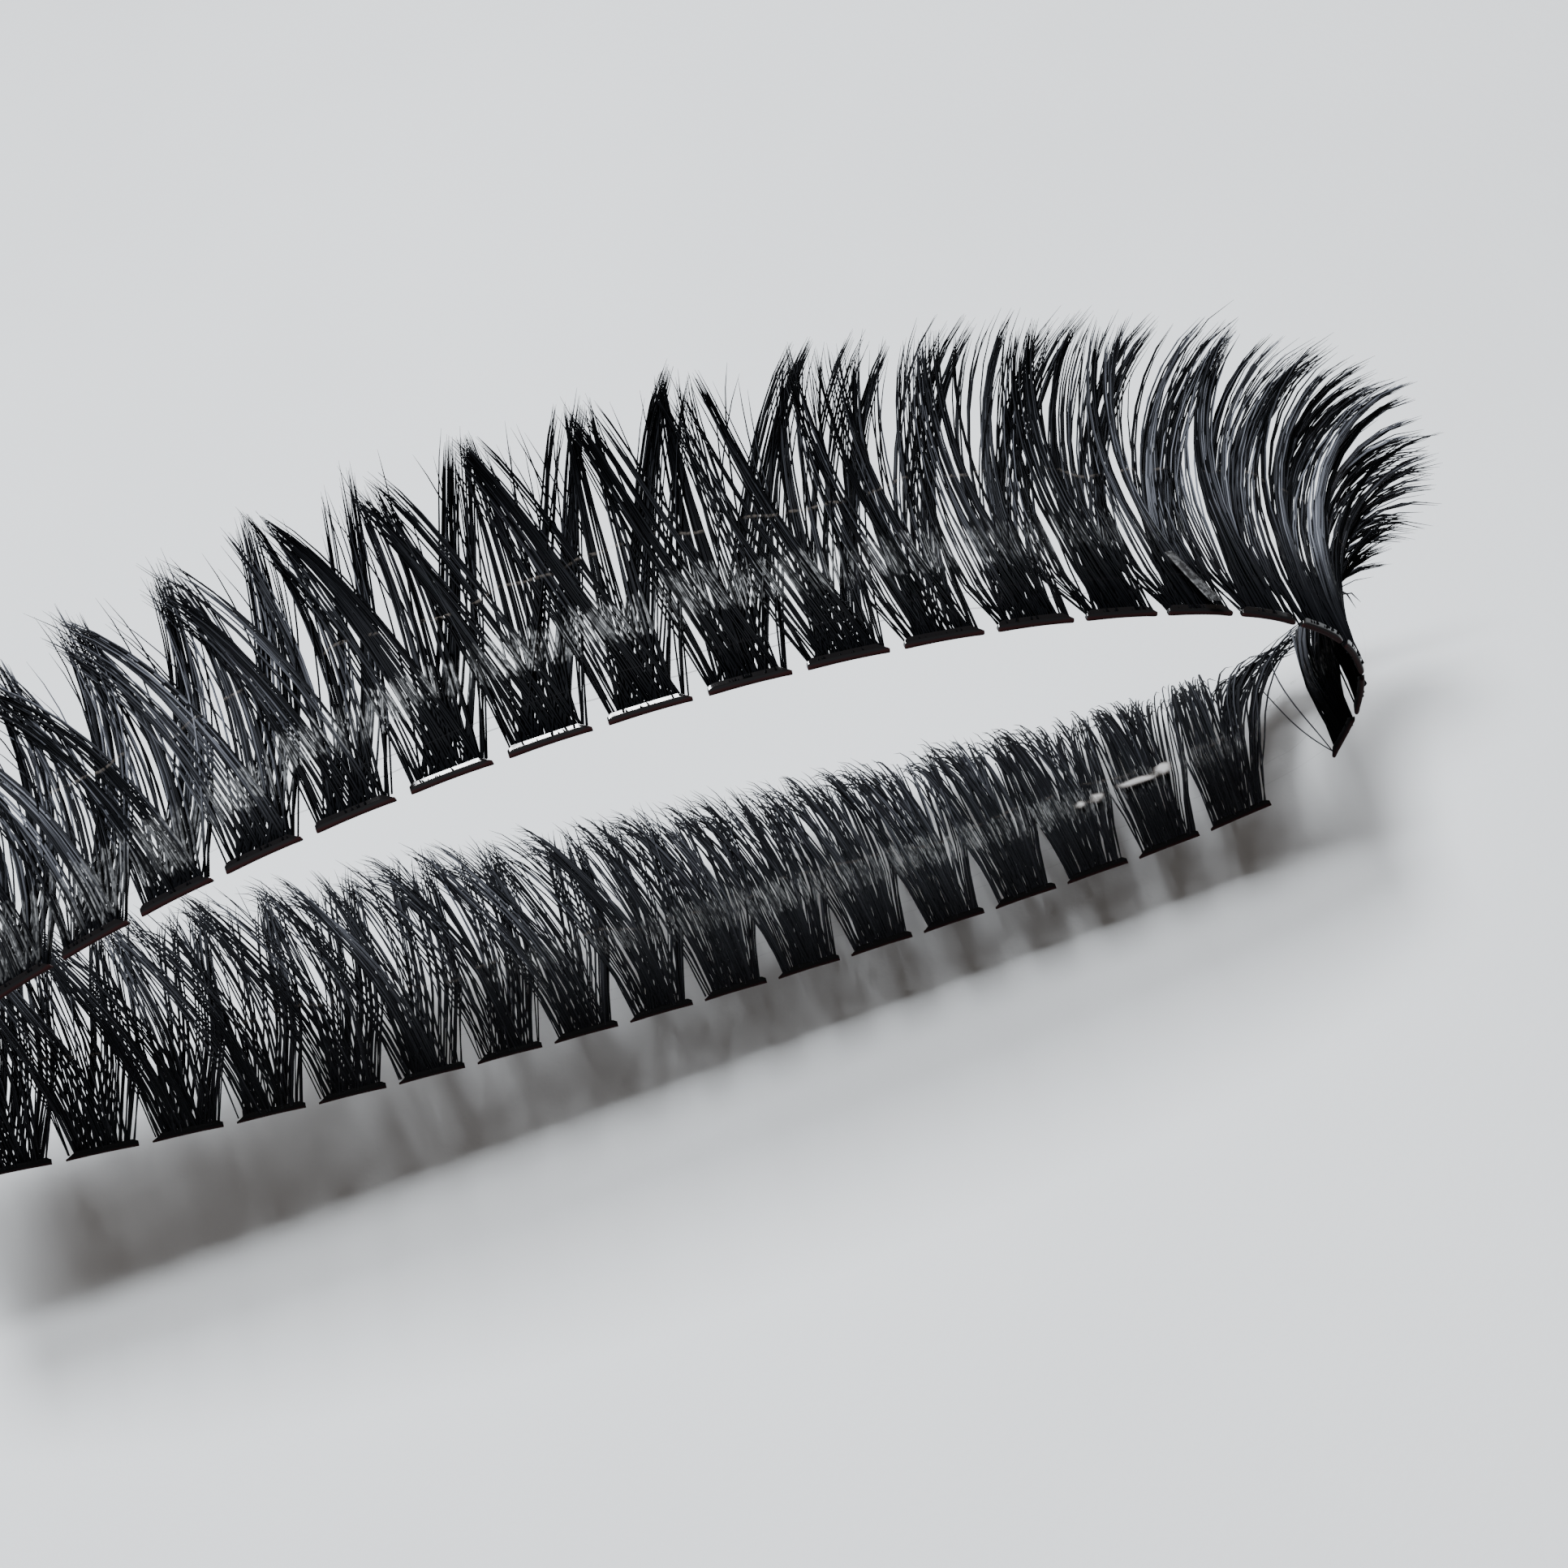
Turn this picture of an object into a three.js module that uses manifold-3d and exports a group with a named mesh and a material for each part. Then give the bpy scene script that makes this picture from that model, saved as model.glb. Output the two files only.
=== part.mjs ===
// A strip of false-lash clusters, bent into a loop and held by its two ends.
//
// Millimetres. X runs from the held ends to the bend of the loop, Y runs along the lashes from
// their base bars to their tips, and Z is up. The origin is midway between the two held ends.
//
// The strip is modelled flat first. A point of the flat strip has three numbers: s along the line
// of base bars, t along the lashes, and n out of the strip's outer face. bend() then carries it to
// the loop, so pieces that keep clear of each other on the flat strip keep clear on the loop.

import * as THREE from 'three';
import { mergeVertices } from 'three/addons/utils/BufferGeometryUtils.js';
import Module from 'manifold-3d';

// The strip
const PITCH = 5.0; // from one cluster to the next
const EMPTY_PLACE = 24; // this place on the strip has lost its cluster
const END_GAP = 2.7; // between the two ends where they are held
const START_HEADING = 41; // degrees above X, of the strip as it leaves its upper end

// The line of base bars, as tangent arcs from the upper end round the bend to the lower end.
// places: the arc's length in clusters; turn: degrees, negative towards the inside of the loop;
// roll: how far the lashes lean out of the loop at the arc's end, in degrees
const ARCS = [
  { name: 'upper end', places: 5.5, turn: -22, roll: -6 },
  { name: 'upper arm', places: 10, turn: -36, roll: 0 },
  { name: 'shoulder', places: 3, turn: -15, roll: 0 },
  { name: 'upper bend', places: 2, turn: -20, roll: 3 },
  { name: 'bend', places: 2.5, turn: -46, roll: 7 },
  { name: 'lower bend', places: 1, turn: -8, roll: 7 },
  { name: 'empty place', places: 1, turn: -62, roll: 4 },
  { name: 'heel', places: 2, turn: -12, roll: 0 },
  { name: 'lower arm', places: 9, turn: -13, roll: -20 },
  { name: 'closing', places: 5.5, turn: -8, roll: -22 },
  { name: 'lower end', places: 2.5, turn: 10, roll: 0 },
];

// The curl of a lash: straight at its base, then turning out more and more towards its tip
const CURL_LENGTH = 17.2; // along the longest lash
const CURL_ANGLE = 88; // degrees, at that length
const CURL_POWER = 2;
const CURL_STEPS = 160;

// A cluster's base bar, with feet that flare along the strip, and the dense root of the fan above it
const BAR_LENGTH = 4.2;
const BAR_WAIST = 3.45;
const FOOT_HEIGHT = 0.3;
const ROOT_HEIGHT = 3.4;
const ROOT_TOP_WIDTH = 3.8;
const ROOT_DEPTH = 0.46;

// The locks of the fan. root and tip: places along the strip from the cluster's middle;
// length: along the lash; width: at the root; layer: the layer that the lock keeps to
const LOCKS = [
  { root: -1.35, tip: -5.4, length: 16.2, width: 1.1, layer: 1 },
  { root: -0.70, tip: -4.4, length: 17.2, width: 1.1, layer: 1 },
  { root: -0.30, tip: 0.1, length: 16.2, width: 1.1, layer: 0 },
  { root: 0.25, tip: 0.9, length: 16.8, width: 1.1, layer: 0 },
  { root: 0.70, tip: 4.6, length: 16.6, width: 1.1, layer: -1 },
  { root: 1.35, tip: 5.7, length: 16.0, width: 1.1, layer: -1 },
];
const LOCK_START = 3.0; // along the lash, inside the root
const LOCK_SPREAD = 1.15; // above 1, a lock stands up first and leans over later
const LOCK_DEPTH = 0.26; // for each millimetre of a lock's width
const LOCK_SIDES = 3;
const LOCK_STEPS = 4;
const LAYER_STEP = 0.34;
const LAYER_RISE = 0.3; // the part of a lock's length in which it reaches its layer

// The two clear bands that hold the fans, one on each face
// side: 1 is the outer face; low and high: the band's edges, along the lashes
const FILMS = [
  { name: 'film_outer', side: 1, low: 2.0, high: 9.2 },
  { name: 'film_inner', side: -1, low: 2.2, high: 6.2 },
];
const FILM_OFFSET = 0.85; // from the middle of the fans
const FILM_THICKNESS = 0.15;
const FILM_END = 0.3; // short of the strip's ends
const FILM_STEP_TURN = 13; // degrees of bend for each step along the film
const FILM_ROWS = 2;

const BLACK_FIBRE = new THREE.MeshStandardMaterial({ color: 0x14161a, roughness: 0.45, metalness: 0 });
const CLEAR_FILM = new THREE.MeshStandardMaterial({
  color: 0xdfe4ea, roughness: 0.2, metalness: 0, transparent: true, opacity: 0.3,
});

const radians = THREE.MathUtils.degToRad;
const { lerp, smoothstep } = THREE.MathUtils;

// Lays the arcs end to end and returns each with the place and heading where it starts.
function layArcs() {
  const laid = [];
  let start = { s: 0, x: 0, z: END_GAP / 2, heading: radians(START_HEADING), roll: 0 };
  for (const { places, turn, roll } of ARCS) {
    const arc = { ...start, length: places * PITCH, turn: radians(turn), endRoll: radians(roll) };
    laid.push(arc);
    const end = alongArc(arc, arc.length);
    start = { s: arc.s + arc.length, x: end.x, z: end.z, heading: end.heading, roll: arc.endRoll };
  }
  return laid;
}

// The point, heading and roll at a distance along one arc.
function alongArc(arc, distance) {
  const radius = arc.length / arc.turn;
  const heading = arc.heading + distance / radius;
  return {
    x: arc.x + radius * (Math.sin(heading) - Math.sin(arc.heading)),
    z: arc.z - radius * (Math.cos(heading) - Math.cos(arc.heading)),
    heading,
    roll: lerp(arc.roll, arc.endRoll, distance / arc.length),
  };
}

const laidArcs = layArcs();
const lastArc = laidArcs.at(-1);
const stripLength = lastArc.s + lastArc.length;
const placeCount = Math.round(stripLength / PITCH);

// The line of base bars at a distance s along the strip; past an end it goes on along the end arc.
function lineAt(s) {
  const arc = laidArcs.findLast((each) => each.s <= s) ?? laidArcs[0];
  return alongArc(arc, s - arc.s);
}

// The angle of a lash at t along it, and a table of its curve: up is along its root, out is outwards.
const leanAt = (t) => radians(CURL_ANGLE) * Math.pow(Math.max(t, 0) / CURL_LENGTH, CURL_POWER);

function curlTable() {
  const table = [{ up: 0, out: 0 }];
  const step = CURL_LENGTH / CURL_STEPS;
  for (let i = 0; i < CURL_STEPS; i += 1) {
    const lean = leanAt((i + 0.5) * step);
    const last = table[i];
    table.push({ up: last.up + step * Math.cos(lean), out: last.out + step * Math.sin(lean) });
  }
  return table;
}

const curl = curlTable();

function curlAt(t) {
  const place = (t / CURL_LENGTH) * CURL_STEPS;
  const low = Math.min(Math.max(Math.floor(place), 0), CURL_STEPS - 1);
  const a = curl[low];
  const b = curl[low + 1];
  return { up: lerp(a.up, b.up, place - low), out: lerp(a.out, b.out, place - low) };
}

// Carries a point (s, t, n) of the flat strip to the loop.
function bend(s, t, n) {
  const line = lineAt(s);
  const { up, out } = curlAt(t);
  const lean = leanAt(t);
  const along = up - n * Math.sin(lean);
  const away = out + n * Math.cos(lean);
  const y = along * Math.cos(line.roll) - away * Math.sin(line.roll);
  const o = along * Math.sin(line.roll) + away * Math.cos(line.roll);
  return new THREE.Vector3(line.x - o * Math.sin(line.heading), y, line.z + o * Math.cos(line.heading));
}

// Moves every vertex of a geometry to where shape(vertex) puts it, and keeps its triangles.
function reshape(geometry, shape) {
  const position = geometry.attributes.position;
  const vertex = new THREE.Vector3();
  for (let i = 0; i < position.count; i += 1) {
    vertex.fromBufferAttribute(position, i);
    const moved = shape(vertex);
    position.setXYZ(i, moved.x, moved.y, moved.z);
  }
  return geometry;
}

function welded(geometry) {
  geometry.deleteAttribute('normal');
  geometry.deleteAttribute('uv');
  return mergeVertices(geometry, 1e-5);
}

const wasm = await Module();
wasm.setup();

function solidFrom(geometry) {
  const closed = welded(geometry);
  const mesh = new wasm.Mesh({
    numProp: 3,
    vertProperties: new Float32Array(closed.attributes.position.array),
    triVerts: new Uint32Array(closed.index.array),
  });
  return new wasm.Manifold(mesh);
}

function geometryFrom(solid) {
  const mesh = solid.getMesh();
  const geometry = new THREE.BufferGeometry();
  geometry.setAttribute('position', new THREE.BufferAttribute(mesh.vertProperties.slice(), 3));
  geometry.setIndex(new THREE.BufferAttribute(mesh.triVerts.slice(), 1));
  return geometry;
}

// The pieces of one flat cluster: x along the strip, y along the lashes, z out of the outer face.
function rootGeometry() {
  const outline = new THREE.Shape([
    new THREE.Vector2(-BAR_LENGTH / 2, 0),
    new THREE.Vector2(BAR_LENGTH / 2, 0),
    new THREE.Vector2(BAR_WAIST / 2, FOOT_HEIGHT),
    new THREE.Vector2(ROOT_TOP_WIDTH / 2, ROOT_HEIGHT),
    new THREE.Vector2(-ROOT_TOP_WIDTH / 2, ROOT_HEIGHT),
    new THREE.Vector2(-BAR_WAIST / 2, FOOT_HEIGHT),
  ]);
  const root = new THREE.ExtrudeGeometry(outline, { depth: ROOT_DEPTH, bevelEnabled: false });
  return root.translate(0, 0, -ROOT_DEPTH / 2);
}

function lockGeometry({ root, tip, length, width, layer }) {
  const lock = new THREE.ConeGeometry(width / 2, 1, LOCK_SIDES, LOCK_STEPS);
  return reshape(lock, ({ x, y, z }) => {
    const height = y + 0.5;
    const t = lerp(LOCK_START, length, height);
    const n = layer * LAYER_STEP * smoothstep(height, 0, LAYER_RISE);
    return new THREE.Vector3(lerp(root, tip, Math.pow(t / length, LOCK_SPREAD)) + x, t, n + z * LOCK_DEPTH);
  });
}

const flatCluster = geometryFrom(
  LOCKS.map(lockGeometry)
    .map(solidFrom)
    .reduce((joined, lock) => joined.add(lock), solidFrom(rootGeometry())),
);

// One cluster, bent to its place. Its mesh stands on the strip's line, turned along it.
function clusterAt(place) {
  const middle = (place + 0.5) * PITCH;
  const line = lineAt(middle);
  const cluster = new THREE.Mesh(flatCluster.clone(), BLACK_FIBRE);
  cluster.position.set(line.x, 0, line.z);
  cluster.rotation.y = -line.heading;
  cluster.updateMatrix();
  reshape(cluster.geometry, ({ x, y, z }) => bend(middle + x, y, z));
  cluster.geometry.applyMatrix4(cluster.matrix.clone().invert());
  return cluster;
}

// Distances along the strip where the film has a section: closer together where it bends more.
function filmStations() {
  const stations = [FILM_END];
  for (const arc of laidArcs) {
    const bendSteps = Math.abs(arc.turn) / radians(FILM_STEP_TURN);
    const steps = Math.ceil(Math.max(arc.length / PITCH, bendSteps));
    for (let i = 1; i <= steps; i += 1) {
      stations.push(arc.s + (arc.length * i) / steps);
    }
  }
  stations[stations.length - 1] = stripLength - FILM_END;
  return stations;
}

// A band of film on one face.
function filmBand({ name, side, low, high }) {
  const stations = filmStations();
  const steps = stations.length - 1;
  const band = new THREE.BoxGeometry(steps, 1, FILM_THICKNESS, steps, FILM_ROWS, 1);
  reshape(band, ({ x, y, z }) => {
    const s = stations[Math.round(x + steps / 2)];
    return bend(s, lerp(low, high, y + 0.5), side * FILM_OFFSET + z);
  });
  const film = new THREE.Mesh(welded(band), CLEAR_FILM);
  film.name = name;
  return film;
}

const strip = new THREE.Group();

const clusters = new THREE.Group();
let number = 0;
for (let place = 0; place < placeCount; place += 1) {
  if (place !== EMPTY_PLACE) {
    number += 1;
    const cluster = clusterAt(place);
    cluster.name = `cluster_${String(number).padStart(2, '0')}`;
    clusters.add(cluster);
  }
}
strip.add(clusters);

const films = new THREE.Group();
for (const film of FILMS) {
  films.add(filmBand(film));
}
strip.add(films);

export default strip;
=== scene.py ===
# %% [markdown]
# A strip of lash clusters, bent into a loop.
#
# Each cluster is a short glossy bar with a fan of fine black fibres standing on it. Two bands of
# clear film hold a row of these clusters together, and the row is bent into a teardrop loop.
# The packed model gives the places of all the clusters as plain solids. This lesson loads it as a
# fixed frame, keeps its size, and dresses each solid with the fibres that the real one has.

import bpy
import numpy as np
from mathutils import Matrix, Vector


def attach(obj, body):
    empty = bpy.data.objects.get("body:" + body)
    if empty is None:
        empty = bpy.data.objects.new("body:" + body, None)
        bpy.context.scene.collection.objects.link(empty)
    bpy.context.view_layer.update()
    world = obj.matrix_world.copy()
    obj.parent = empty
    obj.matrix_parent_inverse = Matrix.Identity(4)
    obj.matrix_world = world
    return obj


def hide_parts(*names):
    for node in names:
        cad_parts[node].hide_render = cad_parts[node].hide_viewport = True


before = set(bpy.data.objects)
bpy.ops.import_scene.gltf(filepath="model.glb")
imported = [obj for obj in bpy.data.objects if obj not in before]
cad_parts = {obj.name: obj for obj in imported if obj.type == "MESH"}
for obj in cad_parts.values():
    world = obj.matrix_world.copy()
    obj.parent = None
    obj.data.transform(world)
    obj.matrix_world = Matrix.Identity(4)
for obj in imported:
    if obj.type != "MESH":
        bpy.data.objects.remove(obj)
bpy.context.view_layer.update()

# %% [markdown]
# The line of the loop.
#
# The bars stand in a row along one line. A freehand curve could follow it, but a few tangent arcs
# say how the strip really bends: each arc has a length, counted in clusters, a turn, and a roll,
# which is how far the lashes lean out of the loop. All lengths in this lesson are millimetres, and
# only the finished meshes are scaled to metres.

# %% Lay the arcs end to end
PITCH = 5.0
EMPTY_PLACE = 24
END_GAP = 2.7
START_HEADING = 41.0
ARCS = np.array([  # length in places, turn in degrees, roll at the end in degrees
    (5.5, -22, -6), (10, -36, 0), (3, -15, 0), (2, -20, 3), (2.5, -46, 7), (1, -8, 7),
    (1, -62, 4), (2, -12, 0), (9, -13, -20), (5.5, -8, -22), (2.5, 10, 0),
], float)


def starts(first, steps):
    """Running totals: where each step starts when those before it are added to the first value."""
    return first + np.concatenate([[0.0], np.cumsum(steps)[:-1]])


arc_length = ARCS[:, 0] * PITCH
arc_turn = np.radians(ARCS[:, 1])
arc_radius = arc_length / arc_turn
arc_end_roll = np.radians(ARCS[:, 2])
arc_roll = np.concatenate([[0.0], arc_end_roll[:-1]])
arc_start = starts(0.0, arc_length)
arc_heading = starts(np.radians(START_HEADING), arc_turn)
arc_x = starts(0.0, arc_radius * (np.sin(arc_heading + arc_turn) - np.sin(arc_heading)))
arc_z = starts(END_GAP / 2, arc_radius * (np.cos(arc_heading) - np.cos(arc_heading + arc_turn)))
strip_length = arc_length.sum()
PLACES = [place for place in range(round(strip_length / PITCH)) if place != EMPTY_PLACE]


def line(s):
    """The line at distance s: on an arc of radius R the point moves by R times the change of the
    heading's sine and minus cosine, and the roll changes evenly along the arc."""
    arc = np.clip(np.searchsorted(arc_start, s, side="right") - 1, 0, len(ARCS) - 1)
    along = s - arc_start[arc]
    radius = arc_radius[arc]
    heading = arc_heading[arc] + along / radius
    x = arc_x[arc] + radius * (np.sin(heading) - np.sin(arc_heading[arc]))
    z = arc_z[arc] - radius * (np.cos(heading) - np.cos(arc_heading[arc]))
    roll = arc_roll[arc] + (arc_end_roll[arc] - arc_roll[arc]) * along / arc_length[arc]
    return x, z, heading, roll


print("strip:", strip_length, "mm long with", len(PLACES), "clusters")

# %% [markdown]
# The curl of the lashes, and the bend.
#
# A lash leaves its bar straight and turns out more and more towards its tip. Every piece here is
# first worked out on a flat strip, with s along the bars, t along the lashes and n out of the outer
# face, because a fan is easy to describe there. One function then carries whole arrays of such
# points to the loop, so fibres, bars and film all curl together.

# %% Carry flat points to the loop
CURL_LENGTH = 17.2
CURL_ANGLE = np.radians(88)
CURL_REACH = 20.0  # how far along a lash the curl is worked out
CURL_STEPS = 400

curl_t = np.linspace(0, CURL_REACH, CURL_STEPS + 1)
curl_lean = CURL_ANGLE * (curl_t / CURL_LENGTH) ** 2
curl_step = np.diff(curl_t)
curl_middle = (curl_lean[1:] + curl_lean[:-1]) / 2
curl_up = np.concatenate([[0.0], np.cumsum(np.cos(curl_middle) * curl_step)])
curl_out = np.concatenate([[0.0], np.cumsum(np.sin(curl_middle) * curl_step)])


def bend(s, t, n):
    """A flat point on the loop: up and out along the curl at t, stepped by n square to the curl,
    rolled, and then set square to the line at s."""
    x, z, heading, roll = line(s)
    lean = np.interp(t, curl_t, curl_lean)
    up = np.interp(t, curl_t, curl_up) + np.minimum(t, 0) - n * np.sin(lean)
    out = np.interp(t, curl_t, curl_out) + n * np.cos(lean)
    y = up * np.cos(roll) - out * np.sin(roll)
    away = up * np.sin(roll) + out * np.cos(roll)
    return np.stack([x - away * np.sin(heading), y, z + away * np.cos(heading)], -1)


lash_rise = float(np.interp(CURL_LENGTH, curl_t, curl_up))
print("a lash of", CURL_LENGTH, "mm stands", round(lash_rise, 1), "mm high")

# %% [markdown]
# Tubes.
#
# A fibre, a bar and a band of film are all one kind of surface: a closed outline carried along a
# path. So one function gives the faces for any number of such tubes at once, with a cap at each
# end, and another sews several surfaces into one mesh. Marks are numbers kept on the vertices,
# such as the height along a lash, and the finishes read them later.

# %% Faces of tubes, and sewing them into a piece
METRES = 0.001
QUAD = 4  # corners of a side face


def tube(points, finish, **marks):
    """points[tube, ring, side] are outlines along paths. A side face joins an edge of one ring to
    the same edge of the next ring, and the first and last rings are caps. The finish is a number
    in the list of finishes that the piece gets."""
    count, rings, sides, _ = points.shape
    index = np.arange(count * rings * sides).reshape(count, rings, sides)
    here, beyond = index[:, :-1], index[:, 1:]
    quads = np.stack([here, np.roll(here, -1, 2), np.roll(beyond, -1, 2), beyond], -1)
    caps = np.concatenate([index[:, 0, ::-1], index[:, -1]])
    spread = {name: np.broadcast_to(mark, index.shape).ravel() for name, mark in marks.items()}
    return {"points": points.reshape(-1, 3), "quads": quads.reshape(-1, QUAD), "caps": caps,
            "finish": finish, "marks": spread}


def sew(name, surfaces, finishes):
    """One mesh object from several surfaces: their points one after another, in metres, and their
    faces with the corner numbers moved up to match. Side faces are smooth and caps are flat."""
    first = starts(0, [len(each["points"]) for each in surfaces]).astype(int)
    faces = [(kind + at, each["finish"]) for each, at in zip(surfaces, first)
             for kind in (each["quads"], each["caps"])]
    sizes = np.concatenate([np.full(len(kind), kind.shape[1]) for kind, _ in faces])
    slots = np.concatenate([np.full(len(kind), slot) for kind, slot in faces])
    points = np.concatenate([each["points"] for each in surfaces]) * METRES
    mesh = bpy.data.meshes.new(name)
    mesh.vertices.add(len(points))
    mesh.vertices.foreach_set("co", points.ravel())
    mesh.loops.add(int(sizes.sum()))
    mesh.loops.foreach_set("vertex_index", np.concatenate([kind.ravel() for kind, _ in faces]))
    mesh.polygons.add(len(sizes))
    mesh.polygons.foreach_set("loop_start", starts(0, sizes).astype(int))
    mesh.polygons.foreach_set("material_index", slots)
    mesh.polygons.foreach_set("use_smooth", sizes == QUAD)
    mesh.update(calc_edges=True)
    for mark in surfaces[0]["marks"]:
        values = np.concatenate([each["marks"][mark] for each in surfaces]).astype(np.float32)
        mesh.attributes.new(mark, "FLOAT", "POINT").data.foreach_set("value", values)
    for finish in finishes:
        mesh.materials.append(finish)
    piece = bpy.data.objects.new(name, mesh)
    bpy.context.scene.collection.objects.link(piece)
    return piece


prism = tube(np.zeros((1, 2, 3, 3)), finish=0)
print("a tube of two rings of three:", len(prism["quads"]), "sides,", len(prism["caps"]), "caps")

# %% [markdown]
# Writing finishes as sums.
#
# A finish is a small network of nodes. It reads best as arithmetic, so one class wraps a node's
# output and turns plus, minus and times into Math nodes. Every other node comes from its one
# method, which takes the node's type, its settings, and what goes into its sockets.

# %% A wire that can be added and multiplied
MIX_FACTOR, MIX_FIRST, MIX_SECOND, MIX_RESULT = 0, 6, 7, 2  # colour sockets of a Mix node


class Wire:
    """An output socket in a material. Sums of wires and numbers become Math nodes."""

    def __init__(self, tree, socket=None):
        self.tree = tree
        self.socket = socket

    def node(self, kind, settings=None, sockets=None, output=0):
        """Adds a node: first its settings, then the values or links of its sockets."""
        node = self.tree.nodes.new(kind)
        for key, value in (settings or {}).items():
            setattr(node, key, value)
        for key, value in (sockets or {}).items():
            if isinstance(value, Wire):
                self.tree.links.new(value.socket, node.inputs[key])
            else:
                node.inputs[key].default_value = value
        return Wire(self.tree, node.outputs[output])

    def sum_of(self, operation, first, second):
        """A Math node for two wires, or for a wire and a number."""
        return self.node("ShaderNodeMath", {"operation": operation}, {0: first, 1: second})

    def __add__(self, other):
        return self.sum_of("ADD", self, other)

    def __sub__(self, other):
        return self.sum_of("SUBTRACT", self, other)

    def __rsub__(self, other):
        return self.sum_of("SUBTRACT", other, self)

    def __mul__(self, other):
        return self.sum_of("MULTIPLY", self, other)

    __radd__ = __add__
    __rmul__ = __mul__

    def mark(self, name):
        """A number kept on the vertices."""
        return self.node("ShaderNodeAttribute", {"attribute_name": name}, output="Fac")

    def step(self, low, high):
        """0 below low, 1 above high, and a smooth rise between them."""
        return self.node("ShaderNodeMapRange", {"interpolation_type": "SMOOTHSTEP"},
                         {"Value": self, "From Min": low, "From Max": high})

    def blend(self, first, second):
        """The first colour where the wire is 0 and the second where it is 1."""
        return self.node("ShaderNodeMix", {"data_type": "RGBA"},
                         {MIX_FACTOR: self, MIX_FIRST: first, MIX_SECOND: second}, MIX_RESULT)

    def noise(self, scale, detail=2.0, stretch=(1.0, 1.0, 1.0)):
        """Cloudy noise in Object coordinates, about 1 / scale metres from cloud to cloud."""
        place = self.node("ShaderNodeTexCoord", output="Object")
        place = self.node("ShaderNodeMapping", {}, {"Vector": place, "Scale": stretch})
        return self.node("ShaderNodeTexNoise", {},
                         {"Vector": place, "Scale": scale, "Detail": detail})

    def bump(self, strength, distance):
        """A normal that takes the wire as height."""
        return self.node("ShaderNodeBump", {},
                         {"Strength": strength, "Distance": distance, "Height": self})


def finish(name):
    """A new material with a Principled shader, and the bare wire that its network starts from."""
    material = bpy.data.materials.new(name)
    material.use_nodes = True
    return material, material.node_tree.nodes["Principled BSDF"], Wire(material.node_tree)


def set_sockets(shader, wire, **sockets):
    """Puts values or wires into the shader's sockets; an underscore in a name is a space."""
    for key, value in sockets.items():
        socket = shader.inputs[key.replace("_", " ")]
        if isinstance(value, Wire):
            wire.tree.links.new(value.socket, socket)
        else:
            socket.default_value = value


print("a wire can:", [name for name in vars(Wire) if not name.startswith("_")])

# %% [markdown]
# The black fibre.
#
# Lash fibre is drawn plastic: almost black, with a satin sheen that is painted into the colour as
# a grey that differs a little from fibre to fibre. Where the film is pressed onto the fan it shows
# as a frosted band with fine streaks, painted grey: partly the film's own frost and partly painted
# sheen. So the finish reads three marks: the height along the lash, the painted sheen of each
# fibre, and how strongly the film's frost and painted sheen show there. The band's two edges are
# marks as well, because they change along the strip.

# %% Fibre finish
FIBRE_BLACK = (0.0023, 0.0025, 0.0031, 1)
# The sheen grey is painted light: it stands in for light mirrored along the fibres.
FIBRE_SHEEN = (0.165, 0.175, 0.205, 1)
FIBRE_ROUGHNESS = 0.5
# The frost grey is partly the film's own frost and partly painted sheen of the pressed-on film.
FROST_SHEEN_GREY = (0.230, 0.238, 0.245, 1)
FROST_SHEEN_ROUGHENS = 0.2
FROST_SHEEN_RAGGED = 0.4  # how far the edges of the frosted band wander
FROST_SHEEN_SOFT = 0.12  # half the width of its soft edge
STREAK_SHARE = 0.75  # how much of the frost lies in streaks
fibre, shader, wire = finish("black_fibre")
height = wire.mark("lash_height")
shade = wire.mark("fibre_shade")
frost_low = wire.mark("frost_low")
frost_high = wire.mark("frost_high")
ragged = wire.noise(scale=900.0, detail=3.0) * (2 * FROST_SHEEN_RAGGED) - FROST_SHEEN_RAGGED
streak = wire.noise(scale=5200.0, stretch=(1.0, 0.35, 1.0)).step(low=0.42, high=0.58)
above = (height + ragged - frost_low).step(-FROST_SHEEN_SOFT, FROST_SHEEN_SOFT)
below = (frost_high - height - ragged).step(-FROST_SHEEN_SOFT, FROST_SHEEN_SOFT)
frost = above * below * wire.mark("frost") * (1 - STREAK_SHARE + streak * STREAK_SHARE)
# Painted light in the colour: the sheen grey stands in for light mirrored along the fibres.
set_sockets(shader, wire,
            Base_Color=frost.blend(shade.blend(FIBRE_BLACK, FIBRE_SHEEN), FROST_SHEEN_GREY),
            Roughness=FIBRE_ROUGHNESS + frost * FROST_SHEEN_ROUGHENS,
            Specular_IOR_Level=0.02)
print("fibre finish:", len(wire.tree.nodes), "nodes")

# %% [markdown]
# The glossy bar.
#
# The fibres are melted and glued together into a short bar. It is the same black, but smooth, so it
# takes a hard bright line from the lamp. Its lower edge is thinner and shows a little red-brown.
# The underside and the inner face, where the ends of the fibres show, stay dull. So the finish is a
# smooth shader and a dull one, and a mark on the bar says how much of each shows.

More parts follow.
